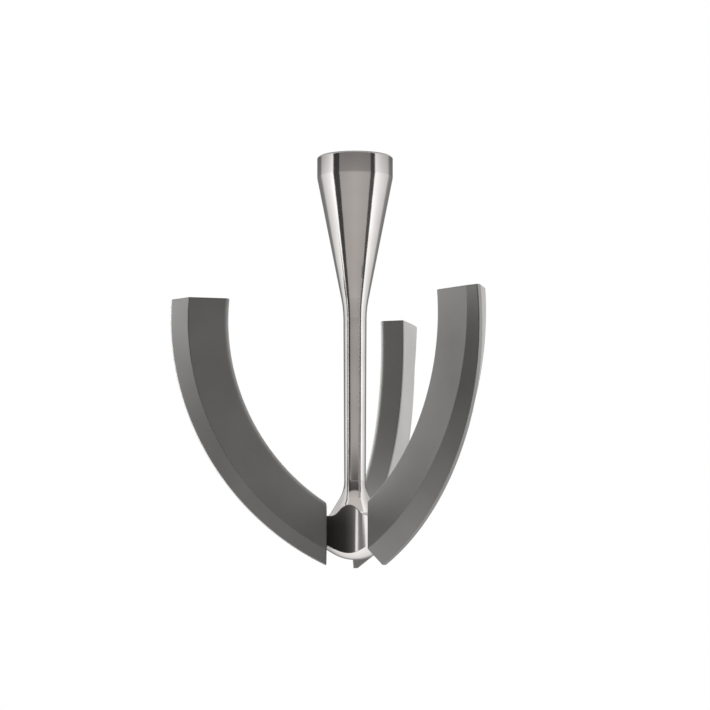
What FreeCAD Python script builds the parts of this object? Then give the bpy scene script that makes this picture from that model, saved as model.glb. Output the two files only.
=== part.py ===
import FreeCAD, Part
import math
import os

# Three-bladed mixing beater for a planetary stand mixer.
# One polished metal casting is turned all over: a drive cup, a long taper, a slim stem that flares
# into a hub, and three arms that are left when the hub is scalloped away between them.
# A soft flexible blade is moulded over the tongue of each arm.
# Units are millimetres. The origin is the centre of the cup's rim, +Z points up into the mixer,
# and the stem hangs down from there.

V = FreeCAD.Vector
ORIGIN = V(0, 0, 0)
UP = V(0, 0, 1)
TINY = 1e-6

# Drive cup, taper and stem
cup_radius = 16.3
cup_height = 9.2
cup_edge_break = 0.7
cup_crease_radius = 3.0
neck_radius = 5.0
neck_depth = 66.2
neck_blend = 45.0
stem_radius = 4.6

# Drive socket with a cross slot and a quarter-turn pocket for the driving pin
bore_radius = 6.4
bore_depth = 36.0
pin_slot_width = 4.2
pin_slot_reach = 10.4
pin_slot_depth = 16.0
pin_pocket_height = 5.0
pin_pocket_turn = 62.0

# Hub: the stem flares out to the arms, and a rounded cone closes the hub underneath
flare_angle = 31.0
flare_height = 11.2
flare_blend = 14.8
shoulder_blend = 3.0
hub_height = 18.3
underside_angle = 30.4
underside_radius = 18.1
scallop_edge_break = 0.15

# Arms
arm_count = 3
arm_turn = -17.0
arm_width = 9.7
arm_reach = 13.5
hub_waist_radius = 8.6

# Blade: an arc swept in the plane of its arm, with a lip that swings across its width
blade_top_depth = 64.0
arc_centre_depth = 73.2
arc_centre_offset = 34.5
blade_inner_radius = 90.5
blade_body_width = 17.7
blade_thickness = 11.2
lip_width = 5.8
lip_tip_thickness = 2.0
lip_step = 0.6
blade_front_edge_radius = 2.0
blade_front_edge_flats = 5
blade_back_edge_break = 0.5
blade_end_break = 0.3

# Metal tongue of each arm inside its blade, and the metal of the arm above the tongue's root
tongue_cover = 0.8
tongue_inner_wall = 5.5
tongue_outer_wall = 3.2
tongue_side_wall = 2.7
tongue_top_wall = 8.0
tongue_root = 4.0

# Angle between the sections that the lip's lofted faces follow
lip_section_step = 15.0


def rounded_polygon(points, radii):
    """A closed wire through the corners, each one rounded by its own radius, or sharp at 0."""
    runs = []
    count = len(points)
    for i, corner in enumerate(points):
        if radii[i] == 0:
            runs.append((corner, corner, corner))
            continue
        before = (points[i - 1] - corner).normalize()
        after = (points[(i + 1) % count] - corner).normalize()
        half_angle = before.getAngle(after) / 2
        tangent = radii[i] / math.tan(half_angle)
        inward = (before + after).normalize()
        middle = corner + inward * (radii[i] / math.sin(half_angle) - radii[i])
        runs.append((corner + before * tangent, middle, corner + after * tangent))
    edges = []
    for i, (start, middle, end) in enumerate(runs):
        following = runs[(i + 1) % count][0]
        if radii[i] > 0:
            edges.append(Part.Arc(start, middle, end).toShape())
        if (following - end).Length > TINY:
            edges.append(Part.LineSegment(end, following).toShape())
    return Part.Wire(edges)


def turned(shape, angle):
    copy = shape.copy()
    copy.rotate(ORIGIN, UP, angle)
    return copy


def arm_angles():
    return [90 + arm_turn + 360 / arm_count * i for i in range(arm_count)]


def arm_top():
    """The depth of the arms' upper side, which lies a little above the tongues they carry."""
    tongue_radius = blade_inner_radius + tongue_inner_wall
    drop = tongue_radius * math.sin(math.radians(angle_at_reach(tongue_radius, arm_reach)))
    return arc_centre_depth + drop - tongue_cover


# Casting

def make_turned_form():
    """The whole outline of the casting, turned about its axis: cup, taper, stem, flare and hub."""
    top = arm_top()
    bottom = top + hub_height
    shoulder = stem_radius + flare_height * math.tan(math.radians(flare_angle))
    flat = underside_radius * math.tan(math.radians(underside_angle) / 2)
    rim = math.hypot(arm_reach, arm_width / 2) + flat
    rise = (rim - flat) * math.tan(math.radians(underside_angle))
    outline = [
        (0, 0, 0),
        (cup_radius - cup_edge_break, 0, 0),
        (cup_radius, cup_edge_break, 0),
        (cup_radius, cup_height, cup_crease_radius),
        (neck_radius, neck_depth, neck_blend),
        (stem_radius, top - flare_height, flare_blend),
        (shoulder, top, shoulder_blend),
        (rim, top, 0),
        (rim, bottom - rise, 0),
        (flat, bottom, underside_radius),
        (0, bottom, 0),
    ]
    corners = [V(radius, 0, -depth) for radius, depth, rounding in outline]
    wire = rounded_polygon(corners, [rounding for radius, depth, rounding in outline])
    return turned(Part.Face(wire), arm_angles()[0]).revolve(ORIGIN, UP, 360)


def make_star(top, bottom):
    """The hub seen from above: arms with square ends and one concave arc between each pair."""
    half = arm_width / 2
    edges = []
    for angle in arm_angles():
        here = turned(Part.Vertex(arm_reach, -half, -bottom), angle).Point
        there = turned(Part.Vertex(arm_reach, half, -bottom), angle).Point
        waist = turned(Part.Vertex(hub_waist_radius, 0, -bottom), angle + 180 / arm_count).Point
        following = turned(Part.Vertex(arm_reach, -half, -bottom), angle + 360 / arm_count).Point
        edges.append(Part.LineSegment(here, there).toShape())
        edges.append(Part.Arc(there, waist, following).toShape())
    return Part.Face(Part.Wire(edges)).extrude(UP * (bottom - top))


def make_socket():
    """The space that is taken out of the cup for the mixer's shaft and its cross pin."""
    bore = Part.makeCylinder(bore_radius, bore_depth, V(0, 0, -bore_depth))
    slot = Part.makeBox(2 * pin_slot_reach, pin_slot_width, pin_slot_depth,
                        V(-pin_slot_reach, -pin_slot_width / 2, -pin_slot_depth))
    pocket = Part.makeCylinder(pin_slot_reach, pin_pocket_height, V(0, 0, -pin_slot_depth), UP,
                               pin_pocket_turn)
    socket = bore.fuse([slot, pocket, turned(pocket, 180)])
    round_end = Part.makeCylinder(pin_slot_reach, bore_depth, V(0, 0, -bore_depth))
    return socket.common(round_end)


def scallop_edges(body):
    """The upper and lower edges of the hollows between the arms, all round."""
    edges = []
    for face in body.Faces:
        surface = face.Surface
        if not isinstance(surface, Part.Cylinder) or math.hypot(surface.Center.x, surface.Center.y) < TINY:
            continue
        edges += [edge for edge in face.Edges if edge.BoundBox.ZLength < edge.Length - TINY]
    return edges


def make_casting():
    """The turned form, scalloped between the arms and cut off square at their ends."""
    form = make_turned_form()
    top = arm_top() - flare_height - flare_blend
    bottom = arm_top() + hub_height
    block = Part.makeCylinder(2 * form.BoundBox.XMax, bottom - top, V(0, 0, -bottom))
    casting = form.cut(block.cut(make_star(top, bottom)))
    return casting.Solids[0].makeChamfer(scallop_edge_break, scallop_edges(casting))


# Blades and the tongues inside them, all made along +X and then turned to their arm

def on_arc(radius, side, angle):
    """A point of the blade: radius from the arc's centre, sideways offset, angle below level."""
    lean = math.radians(angle)
    return V(radius * math.cos(lean) - arc_centre_offset, side,
             -arc_centre_depth - radius * math.sin(lean))


def angle_at_depth(radius, depth):
    return math.degrees(math.asin((depth - arc_centre_depth) / radius))


def angle_at_reach(radius, reach):
    return math.degrees(math.acos((reach + arc_centre_offset) / radius))


def polygon_on_arc(outline, angle):
    corners = [on_arc(radius, side, angle) for radius, side in outline]
    return Part.makePolygon(corners + corners[:1])


def swept_bar(outline, first, last):
    """A bar that follows the blade's arc: an outline of (radius, side), swept between two angles."""
    return Part.Face(polygon_on_arc(outline, first)).revolve(on_arc(0, 0, 0), V(0, 1, 0), last - first)


def make_tongue():
    low = blade_inner_radius + tongue_inner_wall
    high = blade_inner_radius + blade_body_width - tongue_outer_wall
    half = blade_thickness / 2 - tongue_side_wall
    first = angle_at_depth(low, blade_top_depth + tongue_top_wall)
    last = angle_at_reach(high, arm_reach - tongue_root)
    return swept_bar([(low, -half), (low, half), (high, half), (high, -half)], first, last)


def lip_waste(side, angle):
    """What is cut from the blade beside its lip at one angle: side is 1 at the front, -1 behind.

    The lip runs from the body's full thickness to a blunt tip. The tip stops one step short of
    the back face at the blade's top, and of the front face at the hub.
    """
    half = blade_thickness / 2
    ridge = blade_inner_radius + blade_body_width
    tip = ridge + lip_width
    swing = half - lip_tip_thickness / 2 - lip_step
    first = angle_at_depth(tip, blade_top_depth)
    share = (angle - first) / (angle_at_reach(tip, arm_reach) - first)
    tip_side = swing * (2 * share - 1) + side * lip_tip_thickness / 2
    slope = (tip_side - side * half) / lip_width
    outline = [
        (ridge - lip_step, side * half - slope * lip_step),
        (tip + lip_step, tip_side + slope * lip_step),
        (tip + lip_step, side * blade_thickness),
        (ridge - lip_step, side * blade_thickness),
    ]
    return polygon_on_arc(outline, angle)


def make_blade():
    """The swept body with both sides of its lip cut, ended level at the top and square at the hub."""
    half = blade_thickness / 2
    tip = blade_inner_radius + blade_body_width + lip_width
    first = angle_at_depth(blade_inner_radius, blade_top_depth) - lip_section_step / 2
    last = angle_at_reach(tip, arm_reach) + lip_section_step / 2
    outline = [
        (blade_inner_radius + blade_back_edge_break, -half),
        (blade_inner_radius, blade_back_edge_break - half),
    ]
    for i in range(blade_front_edge_flats + 1):
        lean = math.radians(90 / blade_front_edge_flats * i)
        outline.append((blade_inner_radius + blade_front_edge_radius * (1 - math.cos(lean)),
                        half - blade_front_edge_radius * (1 - math.sin(lean))))
    outline += [(tip, half), (tip, -half)]
    height = tip + arc_centre_depth
    room = Part.makeBox(tip, 2 * blade_thickness, height,
                        V(arm_reach, -blade_thickness, -blade_top_depth - height))
    blade = swept_bar(outline, first, last).common(room)
    steps = math.ceil((last - first) / lip_section_step) + 2
    angles = [first - lip_section_step / 2 + lip_section_step * i for i in range(steps)]
    for side in (1, -1):
        blade = blade.cut(Part.makeLoft([lip_waste(side, angle) for angle in angles], True, False))
    blade = blade.Solids[0]
    ends = []
    for edge in blade.Edges:
        box = edge.BoundBox
        if abs(box.ZMin + blade_top_depth) < 1e-4 or abs(box.XMax - arm_reach) < 1e-4:
            ends.append(edge)
    return blade.makeChamfer(blade_end_break, ends)


def main():
    os.makedirs("parts", exist_ok=True)
    tongue = make_tongue()
    body = make_casting().fuse([turned(tongue, angle) for angle in arm_angles()])
    body = body.cut(make_socket()).removeSplitter()
    body.exportStep("parts/beater_body.step")
    blade = make_blade().cut(tongue)
    for i, angle in enumerate(arm_angles()):
        turned(blade, angle).exportStep("parts/flex_blade_%d.step" % (i + 1))
    return body, blade


if __name__ == "__main__":
    main()
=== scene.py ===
import math

import bpy
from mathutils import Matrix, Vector

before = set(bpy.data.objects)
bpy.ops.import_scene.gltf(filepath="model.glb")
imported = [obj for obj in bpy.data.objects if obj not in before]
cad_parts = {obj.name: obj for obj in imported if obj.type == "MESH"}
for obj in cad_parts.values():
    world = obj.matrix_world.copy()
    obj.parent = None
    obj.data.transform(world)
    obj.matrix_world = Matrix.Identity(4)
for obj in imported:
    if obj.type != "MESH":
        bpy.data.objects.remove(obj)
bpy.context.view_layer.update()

# Lengths are in metres. The beater hangs down from the origin, and the camera looks along +Y.
WHITE = (1, 1, 1, 1)
BODY = "beater_body"
BLADES = sorted(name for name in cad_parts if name.startswith("flex_blade"))

# The camera stands low in front of the beater and looks slightly up at it.
IMAGE_WIDTH = 710
CAMERA_DISTANCE = 1.488
CAMERA_HEIGHT = -0.2711
CAMERA_PITCH = math.radians(7.09)
CAMERA_REACH = 50
FOCAL_PIXELS = 3500
SENSOR_WIDTH = 36.0

# Polished metal, with lengthwise polishing marks. Its colour carries a painted shade that darkens it
# over the last stretch below the rim, where the shade's first numbers run from 0 at the stretch's lower
# end to 1 at the rim.
METAL_COLOUR = [(0.3, (0.60, 0.575, 0.56, 1)), (0.7, (0.66, 0.64, 0.625, 1))]
METAL_ROUGHNESS = [(0.3, 0.06), (0.7, 0.12)]
METAL_RIPPLE_SCALE = 70.0
METAL_EDGE_RADIUS = 0.0004
MARKS_STRETCH = (2600, 2600, 60)
MARKS_STRENGTH = 0.012
MARKS_DEPTH = 0.0002
RIM_STRETCH = 0.01
RIM_PAINTED_SHADE = [(0.0, 1.0), (0.2, 0.97), (0.92, 0.78), (0.955, 0.6), (1.0, 0.55)]

# Soft rubber, faintly mottled and with a fine grain
RUBBER_COLOUR = [(0.3, (0.100, 0.098, 0.095, 1)), (0.7, (0.116, 0.114, 0.111, 1))]
RUBBER_ROUGHNESS = [(0.3, 0.46), (0.7, 0.58)]
RUBBER_SHINE = 0.35
RUBBER_SHEEN = 0.08
RUBBER_SHEEN_ROUGHNESS = 0.5
RUBBER_EDGE_RADIUS = 0.0006
MOTTLE_SCALE = 45.0
GRAIN_SCALE = 2600.0
GRAIN_STRENGTH = 0.12
GRAIN_DEPTH = 0.0001

# Brightness of the studio around the object. The first numbers of each side, each turn and the tint
# run from 0 straight behind the object to 1 at the camera. Those of the heights and of the light
# from above and below run from 0 straight below to 1 straight above.
STUDIO_STRENGTH = 2.0
BACKDROP_STRENGTH = 1.0
LEFT_SIDE = [(0.0, 0.15), (0.16, 0.12), (0.28, 0.15), (0.33, 0.42), (0.50, 0.62), (0.606, 0.86),
             (0.618, 0.03), (0.70, 0.03), (0.72, 0.0)]
RIGHT_SIDE = [(0.0, 0.15), (0.16, 0.12), (0.28, 0.17), (0.33, 0.42), (0.50, 0.60), (0.637, 0.83),
              (0.652, 0.05), (0.72, 0.05), (0.735, 0.0)]
SIDE_HEIGHT = [(0.0, 0.5), (0.28, 0.6), (0.38, 1.0), (0.56, 1.0), (0.585, 0.86), (0.65, 0.88),
               (0.8, 0.95)]
BACK_TURN = [(0.40, 0.38), (0.45, 0.0)]
BACK_HEIGHT = [(0.60, 0.0), (0.66, 1.0)]
FRONT_TURN = [(0.72, 0.0), (0.735, 0.95), (1.0, 1.05)]
FRONT_HEIGHT = [(0.33, 0.32), (0.43, 0.27), (0.535, 0.265), (0.555, 0.25), (0.587, 0.198),
                (0.62, 0.07), (0.80, 0.05)]
FRONT_TINT = [(0.71, WHITE), (0.74, (1.02, 0.978, 0.952, 1))]
ABOVE_AND_BELOW = [(0.0, 0.74), (0.215, 0.52), (0.33, 0.25), (0.40, 0.035), (0.80, 0.035),
                   (0.832, 0.31), (1.0, 0.42)]

# The studio shapes the metal's mirror image. Matte surfaces get this much less of it, and are lit
# by the soft lights. Each light has its place, the point that it faces, its size and its watts.
MATTE_CUT = 0.92
SOFT_LIGHTS = {
    "right_light": ((0.41, 0.03, -0.03), (0, 0, -0.1), (0.2, 0.2), 7.3),
    "left_light": ((-0.37, 0.16, -0.06), (0, 0, -0.1), (0.2, 0.15), 11.6),
    "low_light": ((-0.07, -0.14, -0.43), (0, 0, -0.17), (0.2, 0.2), 1.6),
}

# A card close in front, seen only in the metal's mirror image. From left to right it is grey, then
# has a white strip, and then turns black. It makes the hub's hollow dark with one bright streak,
# and it clears towards its upper edge.
CARD_LEFT = -0.70
CARD_RIGHT = 0.10
CARD_FRONT = -0.12
CARD_BOTTOM = -0.22
CARD_TOP = -0.11
CARD_STRENGTH = 1.3
CARD_ACROSS = [(0.0, 0.16), (0.50, 0.16), (0.655, 0.28), (0.672, 1.0), (0.697, 1.0), (0.708, 0.15),
               (0.76, 0.07), (0.81, 0.028), (0.90, 0.010), (1.0, 0.007)]
CARD_CLEAR = [(0.64, 0.0), (0.79, 0.17), (0.97, 1.0)]


class Nodes:
    """A small helper that adds linked nodes to one node tree."""

    def __init__(self, tree):
        self.tree = tree
        tree.nodes.clear()

    def add(self, kind, inputs=None, **settings):
        node = self.tree.nodes.new(kind)
        for name, value in settings.items():
            setattr(node, name, value)
        for name, value in (inputs or {}).items():
            if isinstance(value, bpy.types.NodeSocket):
                self.tree.links.new(value, node.inputs[name])
            else:
                node.inputs[name].default_value = value
        return node

    def math(self, operation, *values):
        return self.add("ShaderNodeMath", dict(enumerate(values)), operation=operation).outputs[0]

    def ramp(self, factor, stops):
        """The grey or colour that belongs to the factor, between stops of (factor, value)."""
        node = self.add("ShaderNodeValToRGB", {"Fac": factor})
        elements = node.color_ramp.elements
        while len(elements) < len(stops):
            elements.new(0.5)
        for element, (place, value) in zip(elements, stops):
            element.position = place
            element.color = (value, value, value, 1) if isinstance(value, float) else value
        return node.outputs["Color"]

    def noise(self, place, scale, detail):
        inputs = {"Vector": place, "Scale": scale, "Detail": detail}
        return self.add("ShaderNodeTexNoise", inputs).outputs["Fac"]

    def scaled(self, colour, factor):
        inputs = {0: colour, "Scale": factor}
        return self.add("ShaderNodeVectorMath", inputs, operation="SCALE").outputs[0]

    def share(self, value, low, high):
        """How far the value lies on the way from low, at 0, to high, at 1."""
        inputs = {"Value": value, "From Min": low, "From Max": high}
        return self.add("ShaderNodeMapRange", inputs).outputs[0]

    def relief(self, height, strength, depth, edge_radius, edge_samples):
        """A surface normal with a fine relief and softened edges."""
        edges = self.add("ShaderNodeBevel", {"Radius": edge_radius}, samples=edge_samples).outputs[0]
        inputs = {"Height": height, "Strength": strength, "Distance": depth, "Normal": edges}
        return self.add("ShaderNodeBump", inputs).outputs[0]


def new_material(name):
    material = bpy.data.materials.new(name)
    material.use_nodes = True
    return material, Nodes(material.node_tree)


def finish_material(nodes, shader):
    nodes.add("ShaderNodeOutputMaterial", {"Surface": shader.outputs[0]})


def add_object(name, data):
    thing = bpy.data.objects.new(name, data)
    bpy.context.scene.collection.objects.link(thing)
    return thing


# Materials

def polished_metal():
    """Polished casting: a bright mirror with very fine lengthwise polishing marks."""
    material, nodes = new_material("polished_metal")
    place = nodes.add("ShaderNodeTexCoord").outputs["Object"]
    stretched = nodes.add("ShaderNodeMapping", {"Vector": place, "Scale": MARKS_STRETCH}).outputs[0]
    marks = nodes.noise(stretched, scale=1.0, detail=3.0)
    ripple = nodes.noise(place, METAL_RIPPLE_SCALE, detail=1.0)
    up = nodes.add("ShaderNodeSeparateXYZ", {"Vector": place}).outputs["Z"]
    # The base colour carries a painted shade that darkens the metal towards the rim.
    near_rim = nodes.math("MULTIPLY_ADD", up, 1 / RIM_STRETCH, 1.0)
    shader = nodes.add("ShaderNodeBsdfPrincipled", {
        "Base Color": nodes.scaled(nodes.ramp(ripple, METAL_COLOUR), nodes.ramp(near_rim, RIM_PAINTED_SHADE)),
        "Roughness": nodes.ramp(marks, METAL_ROUGHNESS),
        "Metallic": 1.0,
        "Normal": nodes.relief(marks, MARKS_STRENGTH, MARKS_DEPTH, METAL_EDGE_RADIUS, edge_samples=6),
    })
    finish_material(nodes, shader)
    return material


def flexible_rubber():
    """Moulded silicone: dark warm grey, satin, with a faint grain and slight mottling."""
    material, nodes = new_material("flex_rubber")
    place = nodes.add("ShaderNodeTexCoord").outputs["Object"]
    mottle = nodes.noise(place, MOTTLE_SCALE, detail=4.0)
    grain = nodes.noise(place, GRAIN_SCALE, detail=2.0)
    shader = nodes.add("ShaderNodeBsdfPrincipled", {
        "Base Color": nodes.ramp(mottle, RUBBER_COLOUR),
        "Roughness": nodes.ramp(grain, RUBBER_ROUGHNESS),
        "Normal": nodes.relief(grain, GRAIN_STRENGTH, GRAIN_DEPTH, RUBBER_EDGE_RADIUS, edge_samples=8),
        "Specular IOR Level": RUBBER_SHINE,
        "Sheen Weight": RUBBER_SHEEN,
        "Sheen Roughness": RUBBER_SHEEN_ROUGHNESS,
    })
    finish_material(nodes, shader)
    return material


def dress(node, material):
    for slot in node.material_slots:
        slot.material = material


# Studio

def studio_world():
    """Soft boxes at both sides, a dim front, light from above and below, and a white backdrop."""
    world = bpy.data.worlds.new("studio")
    bpy.context.scene.world = world
    world.use_nodes = True
    nodes = Nodes(world.node_tree)
    direction = nodes.add("ShaderNodeTexCoord").outputs["Generated"]
    across, along, up = nodes.add("ShaderNodeSeparateXYZ", {"Vector": direction}).outputs[:3]
    turn = nodes.math("ABSOLUTE", nodes.math("DIVIDE", nodes.math("ARCTAN2", across, along), math.pi))
    height = nodes.math("MULTIPLY_ADD", up, 0.5, 0.5)
    on_right = nodes.math("GREATER_THAN", across, 0.0)
    on_left = nodes.math("SUBTRACT", 1.0, on_right)
    left = nodes.math("MULTIPLY", nodes.ramp(turn, LEFT_SIDE), on_left)
    right = nodes.math("MULTIPLY", nodes.ramp(turn, RIGHT_SIDE), on_right)
    sides = nodes.math("MULTIPLY", nodes.math("ADD", left, right), nodes.ramp(height, SIDE_HEIGHT))
    front = nodes.math("MULTIPLY", nodes.ramp(turn, FRONT_TURN), nodes.ramp(height, FRONT_HEIGHT))
    back = nodes.math("MULTIPLY", nodes.ramp(turn, BACK_TURN), nodes.ramp(height, BACK_HEIGHT))
    ends = nodes.math("MAXIMUM", nodes.math("MAXIMUM", front, back), nodes.ramp(height, ABOVE_AND_BELOW))
    path = nodes.add("ShaderNodeLightPath")
    cut = nodes.math("MULTIPLY", path.outputs["Is Diffuse Ray"], MATTE_CUT)
    level = nodes.math("MULTIPLY", nodes.math("MAXIMUM", sides, ends), nodes.math("SUBTRACT", 1.0, cut))
    colour = nodes.scaled(nodes.ramp(turn, FRONT_TINT), level)
    studio = nodes.add("ShaderNodeBackground", {"Color": colour, "Strength": STUDIO_STRENGTH})
    backdrop = nodes.add("ShaderNodeBackground", {"Color": WHITE, "Strength": BACKDROP_STRENGTH})
    mixed = nodes.add("ShaderNodeMixShader", {
        0: path.outputs["Is Camera Ray"], 1: studio.outputs[0], 2: backdrop.outputs[0]})
    nodes.add("ShaderNodeOutputWorld", {"Surface": mixed.outputs[0]})


def soft_light(name, place, target, size, power):
    """An area light that only the soft blades show, as the metal mirrors the studio alone."""
    data = bpy.data.lights.new(name, "AREA")
    data.shape = "RECTANGLE"
    data.size, data.size_y = size
    data.energy = power
    light = add_object(name, data)
    light.location = place
    light.rotation_mode = "QUATERNION"
    light.rotation_quaternion = (Vector(target) - Vector(place)).to_track_quat("-Z", "Y")
    light.visible_glossy = False


def card_material():
    """A glow that changes from left to right, and gives way to clear towards the top."""
    material, nodes = new_material("mirrored_card")
    place = nodes.add("ShaderNodeTexCoord").outputs["Object"]
    parts = nodes.add("ShaderNodeSeparateXYZ", {"Vector": place}).outputs
    across = nodes.share(parts["X"], CARD_LEFT, CARD_RIGHT)
    up = nodes.share(parts["Z"], CARD_BOTTOM, CARD_TOP)
    glow = nodes.add("ShaderNodeEmission", {
        "Color": nodes.ramp(across, CARD_ACROSS), "Strength": CARD_STRENGTH})
    clear = nodes.add("ShaderNodeBsdfTransparent")
    finish_material(nodes, nodes.add("ShaderNodeMixShader", {
        0: nodes.ramp(up, CARD_CLEAR), 1: glow.outputs[0], 2: clear.outputs[0]}))
    return material


def make_card():
    corners = [(CARD_LEFT, CARD_FRONT, CARD_BOTTOM), (CARD_RIGHT, CARD_FRONT, CARD_BOTTOM),
               (CARD_RIGHT, CARD_FRONT, CARD_TOP), (CARD_LEFT, CARD_FRONT, CARD_TOP)]
    mesh = bpy.data.meshes.new("mirrored_card")
    mesh.from_pydata(corners, [], [(0, 1, 2, 3)])
    mesh.materials.append(card_material())
    card = add_object("mirrored_card", mesh)
    card.visible_camera = False
    card.visible_diffuse = False
    card.visible_shadow = False


def make_camera():
    data = bpy.data.cameras.new("camera")
    data.sensor_width = SENSOR_WIDTH
    data.lens = SENSOR_WIDTH * FOCAL_PIXELS / IMAGE_WIDTH
    data.clip_end = CAMERA_REACH
    camera = add_object("camera", data)
    camera.location = (0, -CAMERA_DISTANCE, CAMERA_HEIGHT)
    camera.rotation_euler = (math.pi / 2 + CAMERA_PITCH, 0, 0)
    bpy.context.scene.camera = camera


dress(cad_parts[BODY], polished_metal())
rubber = flexible_rubber()
for blade in BLADES:
    dress(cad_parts[blade], rubber)

studio_world()
for light_name, settings in SOFT_LIGHTS.items():
    soft_light(light_name, *settings)
make_card()
make_camera()
bpy.context.scene.view_settings.view_transform = "Standard"
